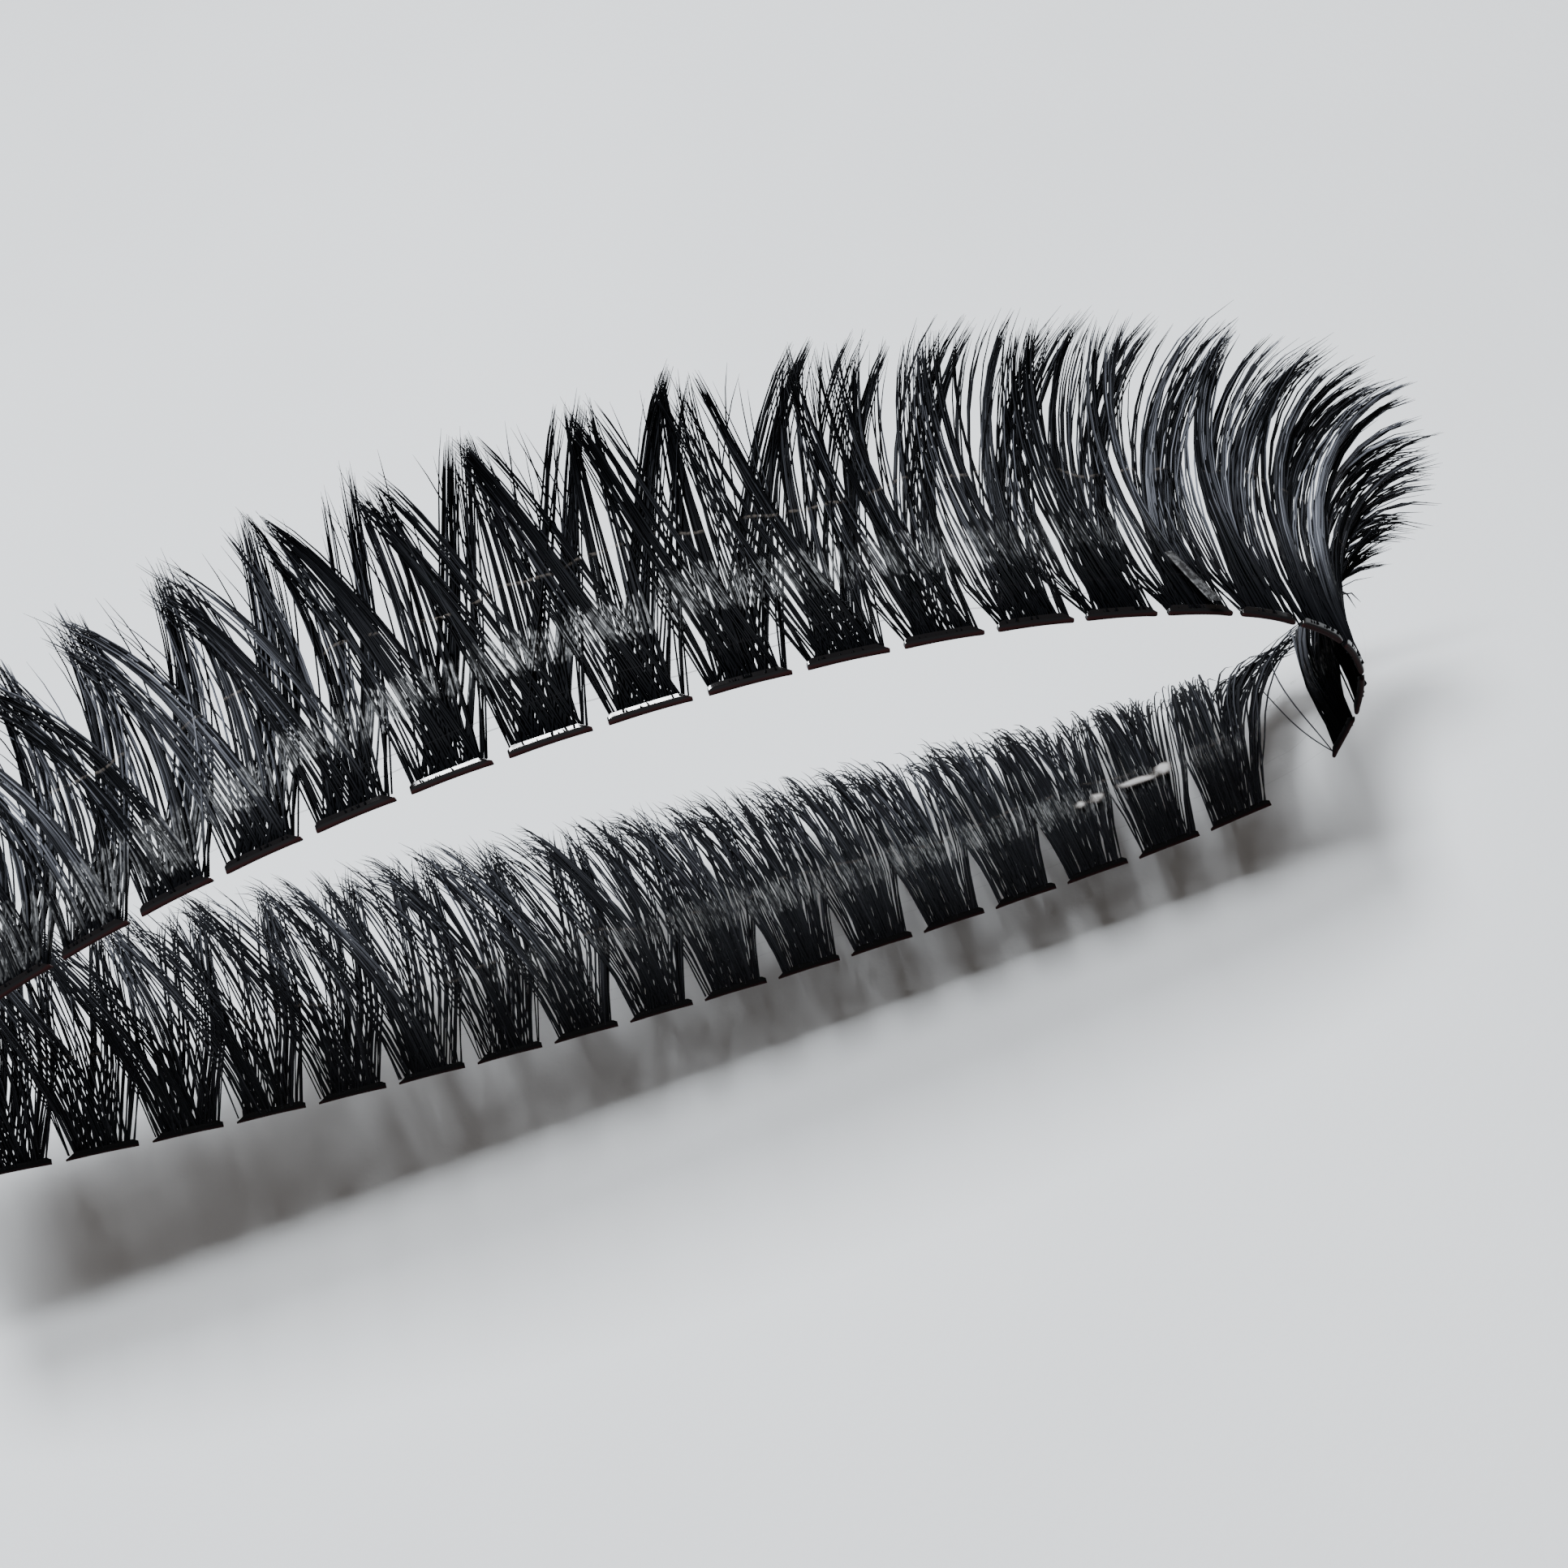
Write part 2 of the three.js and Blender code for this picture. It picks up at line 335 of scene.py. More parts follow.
# %% Bar finish
BAR_BLACK = (0.0022, 0.0022, 0.0028, 1)
BAR_DULL = (0.0055, 0.0056, 0.0060, 1)
BAR_EDGE = (0.0130, 0.0045, 0.0048, 1)
BAR_ROUGHNESS = 0.06
LUMPS_ROUGHEN = 0.06
bar_finish, shader, wire = finish("glossy_bar")
edge = 1 - wire.mark("lash_height").step(low=0.04, high=0.2)
lumps = wire.noise(scale=700.0, detail=3.0)
set_sockets(shader, wire,
            Base_Color=edge.blend(BAR_BLACK, BAR_EDGE),
            Roughness=BAR_ROUGHNESS + lumps * LUMPS_ROUGHEN,
            Specular_IOR_Level=0.5,
            Normal=lumps.bump(strength=0.10, distance=0.0001))
dull = wire.node("ShaderNodeBsdfPrincipled", {}, {
    "Base Color": edge.blend(BAR_DULL, BAR_EDGE), "Roughness": 0.6, "Specular IOR Level": 0.02})
smooth = Wire(wire.tree, shader.outputs["BSDF"])
both = wire.node("ShaderNodeMixShader", {}, {0: wire.mark("frost"), 1: smooth, 2: dull})
wire.tree.links.new(both.socket, wire.tree.nodes["Material Output"].inputs["Surface"])
print("bar finish:", len(wire.tree.nodes), "nodes")

# %% [markdown]
# The base bar.
#
# A bar is about 4 mm long, half a millimetre high, and ends in a blunt foot and a pointed one. Its
# underside is slightly hollow, and its outer face is undercut, which is why it catches the light
# from above. A box with a bevel would miss the feet, so the bar is a rounded wedge carried along
# the strip, whose top and bottom edges change on the way.

# %% Bars as outlines carried along the strip
BAR_LENGTH = 4.2
BAR_HEIGHT = 0.5
BAR_DEPTH = 0.46
BAR_HOLLOW = 0.04
BAR_RINGS = 29
LEFT_FOOT = (0.34, 0.25)  # height at the tip and length
RIGHT_FOOT = (0.12, 0.60)
FOOT_POWER = 1.2  # how the upper edge falls to the tip of a foot
FOOT_DEPTH = 0.55  # share of the depth that is left at the tip of a foot
DULL_BELOW = 0.57  # share of the height under which the bar turns dull
DULL_FADE = 0.15  # share of the height over which it does
DULL_BEHIND = 3  # how soon the inner face turns dull
WEDGE = np.array([  # shares of height and half-depth: round from the top by the outer face
    (1.00, 0.0), (1.00, 0.88), (0.975, 0.99), (0.95, 0.985), (0.93, 0.972), (0.76, 0.858),
    (0.59, 0.745), (0.57, 0.732), (0.40, 0.56), (0.14, 0.30), (0.00, 0.0), (0.02, -0.4),
    (0.20, -0.80), (0.50, -0.95), (0.80, -1.00), (0.97, -0.8),
])


def middle(place):
    """Where the middle of a place is along the strip."""
    return (place + 0.5) * PITCH


def bar(place):
    """The wedge on every ring, between a hollow lower edge and an upper edge that falls to the tip
    of each foot within that foot's length. Its mark of frost, sheen and dullness, which on a bar
    says how dull it is, rises from 0 to 1 towards the underside and the inner face."""
    along = np.sin(np.linspace(-1, 1, BAR_RINGS) * np.pi / 2) * BAR_LENGTH / 2
    to_end = BAR_LENGTH / 2 - np.abs(along)
    foot_tip, foot_length = np.where(along[:, None] < 0, LEFT_FOOT, RIGHT_FOOT).T
    share = np.clip(to_end / foot_length, 0, 1)
    low = BAR_HOLLOW * np.cos(along / BAR_LENGTH * np.pi)
    high = foot_tip + (BAR_HEIGHT - foot_tip) * share ** FOOT_POWER
    depth = BAR_DEPTH * (FOOT_DEPTH + (1 - FOOT_DEPTH) * share ** 0.5)
    wedge_height, wedge_depth = WEDGE.T
    t = low[:, None] + (high - low)[:, None] * wedge_height
    n = depth[:, None] / 2 * wedge_depth
    s = middle(place) + np.broadcast_to(along[:, None], t.shape)
    dull = np.maximum(-DULL_BEHIND * wedge_depth, (DULL_BELOW - wedge_height) / DULL_FADE)
    return tube(bend(s, t, n)[None], finish=0, lash_height=t[None], fibre_shade=0.0,
                frost=np.clip(dull, 0, 1), frost_low=0.0, frost_high=0.0)


print("a bar:", len(bar(0)["points"]), "points")

# %% [markdown]
# The fan of fibres.
#
# Each fan has three families of fibres: one leans to the left, one stands up and one leans to the
# right. On the upper arm they cross just above the bar, so the root is narrow-waisted, and each
# leaning family meets the upright one of the next cluster, so the tips gather in points. A few
# fibres start at the feet and keep apart. A hair system would give the same look but no closed
# mesh, so every fibre is a thin tube, and tables say how the fans change along the strip.

# %% How the fans change along the strip
FAMILIES = [  # fibres, ribbons, side of its root, root half-width, layer, column of its tips
    (36, 5, 1, 1.35, 1, 0),
    (28, 5, 0, 1.55, 0, 1),
    (36, 5, -1, 1.35, -1, 2),
]
TIPS = np.array([  # place, then where the left, upright and right families gather
    (0, -5.0, 0.4, 5.2), (6, -6.0, -0.2, 5.0), (7, -6.4, -0.6, 5.0), (8, -5.6, 0.2, 5.2),
    (9, -4.9, -0.1, 4.4), (10, -4.4, 0.4, 5.1), (11, -4.2, 0.4, 5.4), (12, -4.4, 1.0, 5.3),
    (13, -4.0, 0.3, 6.2), (14, -4.6, 1.0, 4.6), (15, -3.6, 0.4, 3.6), (16, -2.9, 0.2, 4.3),
    (17, -3.2, 0.3, 3.9), (18, -3.9, 0.5, 2.8), (19, -2.4, 0.7, 3.6), (20, -1.8, 0.5, 3.2),
    (22, -2.2, 0.5, 3.0), (23, -2.2, 0.4, 4.2), (25, -4.6, -2.4, -0.4), (26, -4.2, -1.6, 0.6),
    (27, -3.4, -0.6, 1.8), (28, -2.6, 0.0, 2.4), (31, -2.8, 0.2, 3.0), (34, -4.2, 0.6, 4.8),
    (43, -4.8, 0.6, 5.2),
])
# Two columns are painted light: the sheen, and the grey lift after the flare, which brightens
# fibres lying in shade.
MANNER_NAMES = (  # spread and stray are those of the tips, splay is that of the left foot
    "share", "thickness", "length", "spread", "stray", "bow", "sweep", "lift", "sheen",
    "crossing", "flare", "dusk", "feet", "sheen_start", "splay")
MANNER = np.array([  # place, then one column for each name
    (0, 0.80, 0.118, 16.4, 0.5, 1.0, 0.00, 0.00, 0.0, 0.60, 0.35, 0.00, 0.00, 1.0, 2.0, 0.0),
    (7, 0.80, 0.118, 16.4, 0.5, 1.0, 0.00, 0.00, 0.0, 0.60, 0.35, 0.00, 0.00, 1.0, 2.0, 0.0),
    (9, 0.90, 0.120, 16.5, 0.8, 1.0, 0.00, 0.00, 0.0, 0.30, 0.35, 0.00, 0.00, 1.0, 2.0, 0.0),
    (10, 1.00, 0.126, 16.5, 0.45, 1.0, 0.00, 0.00, 0.0, 0.10, 0.35, 0.00, 0.00, 1.0, 2.0, 0.0),
    (13, 1.00, 0.126, 16.7, 0.45, 1.0, 0.00, 0.00, 0.0, 0.06, 0.35, 0.00, 0.00, 1.0, 2.0, 0.0),
    (15, 0.88, 0.104, 16.9, 1.2, 1.5, -0.25, 0.00, 0.0, 0.22, 0.20, -0.20, 0.00, 1.0, 2.0, 0.5),
    (17, 0.88, 0.114, 16.9, 0.7, 1.3, -0.35, 0.00, 0.0, 0.40, 0.20, -0.45, 0.00, 1.2, 3.0, 1.0),
    (19, 0.90, 0.124, 17.0, 1.0, 1.4, -0.45, 0.00, 0.0, 0.75, 0.10, -0.65, 0.02, 1.6, 4.5, 1.6),
    (21, 0.86, 0.138, 18.4, 1.2, 1.2, -0.35, 0.00, 0.0, 1.15, 0.05, -0.25, 0.02, 0.9, 5.0, 0.8),
    (22, 0.84, 0.138, 18.6, 1.2, 1.0, -0.30, 0.00, 0.0, 1.15, 0.20, 0.00, 0.02, 0.2, 5.0, 0.0),
    (23, 0.85, 0.140, 17.0, 0.9, 1.0, -0.20, 0.00, 0.0, 0.60, 0.20, 0.00, 0.03, 0.2, 4.0, 0.0),
    (25, 0.98, 0.125, 16.8, 1.0, 1.2, -0.30, -0.05, 1.5, 0.25, -0.40, 0.55, 0.26, 0.6, 2.0, 0.0),
    (28, 1.00, 0.125, 16.8, 1.0, 1.8, 0.00, 0.05, 2.5, 0.25, -0.40, 0.55, 0.26, 0.4, 2.0, 0.0),
    (31, 1.00, 0.122, 16.6, 1.0, 2.2, 0.00, 0.18, 2.5, 0.25, -0.40, 0.55, 0.26, 0.4, 2.0, 0.0),
    (34, 0.98, 0.118, 16.6, 0.9, 2.5, 0.00, 0.28, 2.5, 0.32, -0.25, 0.45, 0.19, 0.5, 2.0, 0.0),
    (43, 0.95, 0.118, 16.4, 0.7, 2.0, 0.00, 0.30, 2.0, 0.32, -0.25, 0.45, 0.19, 0.5, 2.0, 0.0),
])
# The frosted band: partly the film's own frost, partly painted sheen of the pressed-on film.
FROST_SHEEN = np.array([  # place, low edge, high edge, strength
    (0, 0.8, 5.0, 0.35), (5, 0.8, 5.2, 0.4), (6, 1.0, 4.8, 0.4), (7, 1.6, 5.0, 0.4),
    (8, 3.0, 5.3, 0.5), (9, 4.0, 6.1, 0.6), (10, 4.5, 6.4, 0.65), (12, 4.3, 6.5, 0.65),
    (13, 4.6, 7.0, 0.65), (14, 4.3, 6.5, 0.45), (16, 4.2, 6.3, 0.35), (18, 4.8, 6.5, 0.15),
    (19, 4.8, 6.2, 0.0), (25, 4.6, 6.3, 0.4), (27, 4.3, 6.3, 0.85), (31, 4.3, 6.3, 0.75),
    (33, 4.8, 6.3, 0.35), (36, 5.0, 6.3, 0.0), (43, 5.0, 6.3, 0.0),
])


def along_strip(table, place):
    """Every column of a table at one place, in between its rows."""
    return [np.interp(place, table[:, 0], column) for column in table.T[1:]]


def manner_at(place):
    """The manner of a fan at one place, by name."""
    return dict(zip(MANNER_NAMES, along_strip(MANNER, place)))


print("rows of the tables:", len(TIPS), "tips,", len(MANNER), "manner,", len(FROST_SHEEN), "frost")

# %% [markdown]
# One fibre.
#
# A lash fibre is about a tenth of a millimetre thick and narrows only close to its tip. It could be
# a curve with a bevel, but the strip has thousands of them, so each is a tube with three sides:
# nobody sees the outline of one, and the mesh stays small.

# %% Fibres as tapered tubes
FIBRE_SIDES = 3
TIP_THICKNESS = 0.012
TAPER_START = 4  # the higher, the closer to the tip a fibre starts to narrow
TAPER_POWER = 0.8


def strands(s, t, n, thickness, **marks):
    """Tubes along paths given by s, t and n for each fibre and ring. The outline is a triangle. Its
    radius follows one minus the fourth power of the share of the length, to the power 0.8, so it
    narrows close to the tip."""
    u = np.linspace(0, 1, s.shape[1])
    radius = TIP_THICKNESS / 2 + thickness[:, None] / 2 * (1 - u ** TAPER_START) ** TAPER_POWER
    angle = np.arange(FIBRE_SIDES) * 2 * np.pi / FIBRE_SIDES
    ring_s = s[..., None] + radius[..., None] * np.cos(angle)
    ring_n = n[..., None] - radius[..., None] * np.sin(angle)
    ring_t = np.broadcast_to(t[..., None], ring_s.shape)
    return tube(bend(ring_s, ring_t, ring_n), finish=1, lash_height=ring_t, **marks)


print("a fibre has", FIBRE_SIDES, "sides and ends", TIP_THICKNESS, "mm thick")

# %% [markdown]
# The path of a fibre.
#
# On the flat strip a fibre runs from its root to its tip in a nearly straight line. A few smooth
# terms are added to that line: the fan flares or narrows above the bar, bows to one side, and
# sweeps along the strip, and every fibre strays a little. All the fibres of a fan are worked out
# together, one row of an array for each.

# %% The path of each fibre
FIBRE_RINGS = 10
FIBRE_START = 0.3
RING_POWER = 0.8  # below 1, the rings are closer together towards the tip
PATH_POWER = 1.1  # above 1, a fibre stands up at its root and leans later
STRAY_POWER = 2.5  # how late the tips stray
SWEEP_START = 6.0
LOW_BOW_SCALE = 6.75  # makes the greatest swelling 1
FLARE_ROOT = 2.0  # half-width of the roots
FLARE_HEIGHT = 3.6
FLARE_POWER = 4
LAYER_STEP = 0.34
LAYER_REACHED = 0.3  # share of the length at which a fibre lies in its layer
ROOT_STRAY_OUT = 2  # how far the roots stray outwards, against along the strip
LIFT_POWER = 3
SHEEN_HIGH = 8.0
BASE_SHEEN_LEAST = 0.4  # grey of the darkest fibre in the painted lift, and how much its sheen adds
BASE_SHEEN_GAIN = 1.2
BASE_SHEEN_FALL = 0.6  # share of the painted lift that is gone where the sheen is full


def fibres(place, root, tip, length, layer, thickness, root_stray, tip_stray, lift, shade, frost,
           frost_shift, low_bow):
    """Fibres with their own root, tip, length and layer. With u for the share of the length, the
    path runs from root to tip with the power 1.1 of u. To that is added a bow, the sine of half a
    turn, a low bow, u times the square of 1 - u, a sweep that bends into a straight line above its
    start, and a flare, one minus a falling exponential. A fibre rises to its layer in a smooth
    step, lifts inwards with the cube of u, and its sheen grows from the root upwards."""
    manner = manner_at(place)
    low, high, _ = along_strip(FROST_SHEEN, place)
    u = np.linspace(0, 1, FIBRE_RINGS) ** RING_POWER
    t = FIBRE_START + (length - FIBRE_START)[:, None] * u
    s = root[:, None] + (tip - root)[:, None] * u ** PATH_POWER
    s = s + root_stray[:, None] * (1 - u) + tip_stray[:, None] * u ** STRAY_POWER
    s = s + manner["bow"] * np.sin(np.pi * u)
    s = s + manner["sweep"] * np.logaddexp(0, t - SWEEP_START)
    s = s + low_bow[:, None] * LOW_BOW_SCALE * u * (1 - u) ** 2
    flare = 1 - np.exp(-(t / FLARE_HEIGHT) ** FLARE_POWER)
    s = s + manner["flare"] * (root / FLARE_ROOT)[:, None] * flare
    rise = np.clip(u / LAYER_REACHED, 0, 1)
    n = layer[:, None] * LAYER_STEP * rise * rise * (3 - 2 * rise)
    n = n + root_stray[:, None] * ROOT_STRAY_OUT * (1 - rise) - lift[:, None] * u ** LIFT_POWER
    # Painted light: the sheen grows from the root upwards, where light would be mirrored, and the
    # grey lift brightens the fibres of the lower arm, which lie in the upper arm's shade.
    sheen_start = manner["sheen_start"]
    shine = np.clip((t - sheen_start) / (SHEEN_HIGH - sheen_start), 0, 1)
    dusk = manner["dusk"] * (BASE_SHEEN_LEAST + BASE_SHEEN_GAIN * shade[:, None]) * (1 - BASE_SHEEN_FALL * shine)
    shade = shade[:, None] * shine + dusk
    frost_low, frost_high = np.reshape((low, high), (2, 1, 1, 1)) + frost_shift[..., None, None]
    return strands(middle(place) + s, t, n, thickness, fibre_shade=shade[..., None],
                   frost=frost[:, None, None], frost_low=frost_low, frost_high=frost_high)


print("a fibre has", FIBRE_RINGS, "rings")

# %% [markdown]
# The fibres of a fan.
#
# In a real fan the fibres cling together in ribbons, and each ribbon ends in a point of its own. So
# the random numbers come in two layers: some belong to a ribbon and some to a single fibre. Loose
# fibres fill the gaps, and a few start at the feet of the bar. Every fan has a seed of its own, so
# the strip comes out the same each time.

# %% Fans of ribbons and loose fibres
SEED = 20
TIP_VARIES = 0.16  # from ribbon to ribbon
LENGTH_VARIES = 0.4
LAYER_VARIES = 0.16
SHEEN_VARIES = 0.3
ORDER_IN_TIPS = 0.25  # how far the order of the roots shows in a ribbon's tip
LOOSE = [  # fibres, roots, tips from and to as a column of the tips and a shift, at a foot, splay
    (10, (-1.7, 1.7), (0, 0.8), (2, 0.0), False, 0),
    (13, (-1.95, -1.25), (0, -1.2), (0, 0.4), True, -1),
    (6, (1.5, 1.95), (2, -1.0), (2, 0.6), True, 0),
]
LOOSE_SHORTER = 0.6
LOOSE_LENGTH_VARIES = 0.7
LOOSE_THICKNESS = 0.85  # against the thickness of the families' fibres
SPLAY_REACH = 1.6
FIBRE_LENGTH_VARIES = 0.40  # from fibre to fibre
FIBRE_LAYER_VARIES = 0.14
FIBRE_ROOT_VARIES = 0.05
FIBRE_TIP_VARIES = 0.10
SHEEN_POWER = 3  # the higher, the fewer fibres shine
FROST_SHEEN_RANGE = (-0.4, 1.3)  # cut off at 0 and at the most given below
FROST_SHEEN_MOST = 1.2
FROST_SHEEN_EDGE_VARIES = 0.22


def fan(place):
    """The three families of a cluster. Fibres spread at random over a family's root; they are
    shared out to ribbons, and each ribbon gathers its fibres to its own tip. Then come the loose
    fibres between the families and those from the two feet, which are thinner; those from the left
    foot bow outwards, each a little more than the one before."""
    rng = np.random.default_rng(SEED + place)
    tips = along_strip(TIPS, place)
    manner = manner_at(place)
    rows = []
    for full, ribbons, side, root_half, layer, column in FAMILIES:
        count = round(full * manner["share"])
        order = np.sort(rng.uniform(-1, 1, count))
        edges = np.sort(rng.uniform(-1, 1, ribbons - 1))
        ribbon = np.searchsorted(edges, order)
        ribbon_tip = np.linspace(-1, 1, ribbons) * manner["spread"]
        ribbon_tip = ribbon_tip + rng.normal(0, TIP_VARIES, ribbons) * manner["stray"]
        rows.append(np.stack([
            side * manner["crossing"] + root_half * order,
            tips[column] + ribbon_tip[ribbon] + order * ORDER_IN_TIPS,
            manner["length"] + rng.normal(0, LENGTH_VARIES, ribbons)[ribbon],
            layer + rng.normal(0, LAYER_VARIES, ribbons)[ribbon],
            np.full(count, manner["thickness"]),
            rng.uniform(-SHEEN_VARIES, SHEEN_VARIES, ribbons)[ribbon],
            np.zeros(count),
        ]))
    for full, roots, (from_column, from_shift), (to_column, to_shift), at_foot, splay in LOOSE:
        count = round(full * (manner["feet"] if at_foot else 1))
        rows.append(np.stack([
            rng.uniform(*roots, count),
            rng.uniform(tips[from_column] + from_shift, tips[to_column] + to_shift, count),
            rng.normal(manner["length"] - LOOSE_SHORTER, LOOSE_LENGTH_VARIES, count),
            rng.uniform(-1, 1, count),
            np.full(count, manner["thickness"] * LOOSE_THICKNESS),
            rng.uniform(-SHEEN_VARIES, SHEEN_VARIES, count),
            np.linspace(0, SPLAY_REACH, count) * splay * manner["splay"],
        ]))
    root, tip, length, layer, thickness, shade, low_bow = np.concatenate(rows, 1)
    count = len(root)
    length = length + rng.normal(0, FIBRE_LENGTH_VARIES, count)
    layer = layer + rng.normal(0, FIBRE_LAYER_VARIES, count)
    root_stray = rng.normal(0, FIBRE_ROOT_VARIES, count)
    tip_stray = rng.normal(0, FIBRE_TIP_VARIES, count) * manner["stray"]
    lift = rng.uniform(0, 1, count) * manner["lift"]
    shade = np.clip(shade + rng.uniform(0, 1, count), 0, 1) ** SHEEN_POWER * manner["sheen"]
    frost = np.clip(rng.uniform(*FROST_SHEEN_RANGE, count), 0, FROST_SHEEN_MOST) * along_strip(FROST_SHEEN, place)[2]
    frost_shift = rng.normal(0, FROST_SHEEN_EDGE_VARIES, (2, count))
    return fibres(place, root, tip, length, layer, thickness, root_stray, tip_stray, lift, shade,
                  frost, frost_shift, low_bow)


print("the first fan:", len(fan(0)["caps"]) // 2, "fibres")

# %% [markdown]
# The clusters.
#
# A bar and its fan are one piece, because the real cluster is one piece too. It takes the place of
# the plain solid with the same number.

# %% Make the clusters
faces = 0
for number, place in enumerate(PLACES, 1):
    node = f"cluster_{number:02d}"
    cluster = sew(f"lash_{node}", [bar(place), fan(place)], [bar_finish, fibre])
    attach(cluster, "root")
    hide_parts(node)
    faces += len(cluster.data.polygons)
print("clusters:", len(PLACES), "with", faces, "faces")

# %% [markdown]
# Stray hairs.
#
# One place in the strip is empty, and a few single hairs from its neighbours cross it. Each is
# drawn: four points on the flat strip, and a smooth curve through them.

# %% Hairs across the empty place
HAIR_THICKNESS = 0.09
# The stray hairs carry a little painted sheen.
HAIR_SHEEN = 0.3
HAIR_RINGS = 16
HAIR_POINTS = np.array([  # along the strip and height, from root to tip
    [(119.4, 0.3), (121.4, 3.2), (122.6, 6.6), (123.6, 10.8)],
    [(125.8, 0.3), (124.3, 4.5), (123.4, 9.0), (122.9, 13.4)],
    [(119.5, 0.3), (121.0, 4.1), (122.1, 8.2), (122.8, 13.4)],
])
hair_knots = HAIR_POINTS.shape[1]
powers = np.linalg.solve(np.vander(np.linspace(0, 1, hair_knots)), HAIR_POINTS)
hair_path = np.vander(np.linspace(0, 1, HAIR_RINGS), hair_knots) @ powers
hair_s, hair_t = hair_path[..., 0], hair_path[..., 1]
hairs = strands(hair_s, hair_t, np.zeros_like(hair_s), np.full(len(HAIR_POINTS), HAIR_THICKNESS),
                fibre_shade=HAIR_SHEEN, frost=0.0, frost_low=0.0, frost_high=0.0)
stray_hairs = sew("stray_hairs", [{**hairs, "finish": 0}], [fibre])
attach(stray_hairs, "root")
print("stray hairs:", len(HAIR_POINTS))

# %% [markdown]
# The clear film.
#
# The film can hardly be seen over white. What shows is its edges, a thin dark line below and a
# broken pale-brown line above, and a glint where it stands off the fans near the bend, painted
# white into the film. Glass would be slow and would hide in the export, so the film is a thin
# shell whose opacity follows its own marks: the distance from each edge, and the place along the
# strip.

# %% Film finish
FILM_LOWER_EDGE = (0.010, 0.010, 0.011, 1)
FILM_UPPER_EDGE = (0.24, 0.21, 0.185, 1)
FILM_GLINT = (0.95, 0.96, 0.97, 1)
LOWER_OPACITY = 0.3
UPPER_OPACITY = 0.12
GLINT_OPACITY = 0.9
film_finish, shader, wire = finish("clear_film")
lower = (1 - wire.mark("from_lower").step(low=0.03, high=0.08)) * wire.mark("edge_line")
gaps = wire.noise(scale=650.0).step(low=0.46, high=0.56)
specks = wire.noise(scale=6000.0, detail=1.0).step(low=0.40, high=0.56)
upper = (1 - wire.mark("from_upper").step(low=0.06, high=0.22)) * (gaps * specks)
# The glint is painted: white colour and opacity that stand in for light mirrored by the film.
glint = wire.mark("glint").step(low=0.15, high=0.75) * GLINT_OPACITY
tint = wire.mark("from_lower").step(low=0.3, high=0.6).blend(FILM_LOWER_EDGE, FILM_UPPER_EDGE)
set_sockets(shader, wire,
            Base_Color=glint.blend(tint, FILM_GLINT),
            Roughness=0.3,
            Specular_IOR_Level=0.0,
            Alpha=lower * LOWER_OPACITY + upper * UPPER_OPACITY + glint)
film_finish.surface_render_method = "BLENDED"
print("film finish:", len(wire.tree.nodes), "nodes")

# %% [markdown]
# The film bands.
#
# There is a band on each face of the strip. Its edges waver and it cockles slightly between the
# clusters, so it is an outline across the band, carried along the strip with sums of slow waves.

# %% Make the film bands
FILMS = [  # node, side, lower edge, upper edge
    ("film_outer", 1, 2.0, 9.0),
    ("film_inner", -1, 2.3, 5.9),
]
# Painted glints on the inner band: white patches for light mirrored by the film.
GLINTS = np.array([  # along the strip, height, half-length, half-height
    (130.7, 5.25, 0.55, 0.45), (132.6, 5.0, 1.6, 0.22), (135.6, 4.8, 0.5, 0.25),
    (136.8, 4.7, 0.35, 0.2),
])
EDGE_LINE = np.array([  # along the strip, strength of the dark line at the lower edge
    (35, 0.2), (50, 1.0), (95, 1.0), (105, 0.1),
])
FILM_OFFSET = 0.85
FILM_THICKNESS = 0.05
FILM_END = 0.3
FILM_RINGS = 620
FILM_ROWS = 10
WAVES = (1, 2, 3, 5)
WAVE_RATE = 0.37
WAVE_POWER = 1.3
LOWER_WAVER = 0.10
UPPER_WAVER = 0.28
COCKLE = 0.05
COCKLE_WAVER = 0.03


def waver(s, seed, size):
    """A sum of four slow waves along the strip, each with its own random start. The quicker a wave,
    the smaller it is."""
    rng = np.random.default_rng(seed)
    return sum(size / k * np.sin(s * WAVE_RATE * k ** WAVE_POWER + rng.uniform(0, 2 * np.pi))
               for k in WAVES)


def band(side, low, high, seed):
    """An outline that goes up one face and down the other, between two wavering edges, and stands
    further off the fans in the middle of each gap. A glint is the exponential of minus the squared
    distance from its middle."""
    s = np.linspace(FILM_END, strip_length - FILM_END, FILM_RINGS)
    up = np.linspace(0, 1, FILM_ROWS + 1)
    row = np.concatenate([up, up[::-1]])
    face = np.repeat([-1, 1], FILM_ROWS + 1)
    low = low + waver(s, seed, LOWER_WAVER)
    high = high + waver(s, seed + 1, UPPER_WAVER)
    t = low[:, None] + (high - low)[:, None] * row
    cockle = COCKLE * np.cos(2 * np.pi * s / PITCH) + waver(s, seed + 2, COCKLE_WAVER)
    n = side * (FILM_OFFSET + cockle[:, None] * np.sin(np.pi * row)) + face * FILM_THICKNESS / 2
    along = np.broadcast_to(s[:, None], t.shape)
    glint_s, glint_t, half_length, half_height = GLINTS.T
    reach = ((along[..., None] - glint_s) / half_length) ** 2
    reach = reach + ((t[..., None] - glint_t) / half_height) ** 2
    glint = np.exp(-reach).max(-1) * (side < 0)
    edge_line = np.interp(s, EDGE_LINE[:, 0], EDGE_LINE[:, 1])
    return tube(bend(along, t, n)[None], finish=0, from_lower=(t - low[:, None])[None],
                from_upper=(high[:, None] - t)[None], glint=glint[None],
                edge_line=edge_line[None, :, None])


for number, (node, side, low, high) in enumerate(FILMS):
    film = sew(f"clear_{node}", [band(side, low, high, seed=10 * number)], [film_finish])
    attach(film, "root")
    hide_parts(node)
    print(film.name, len(film.data.polygons), "faces")

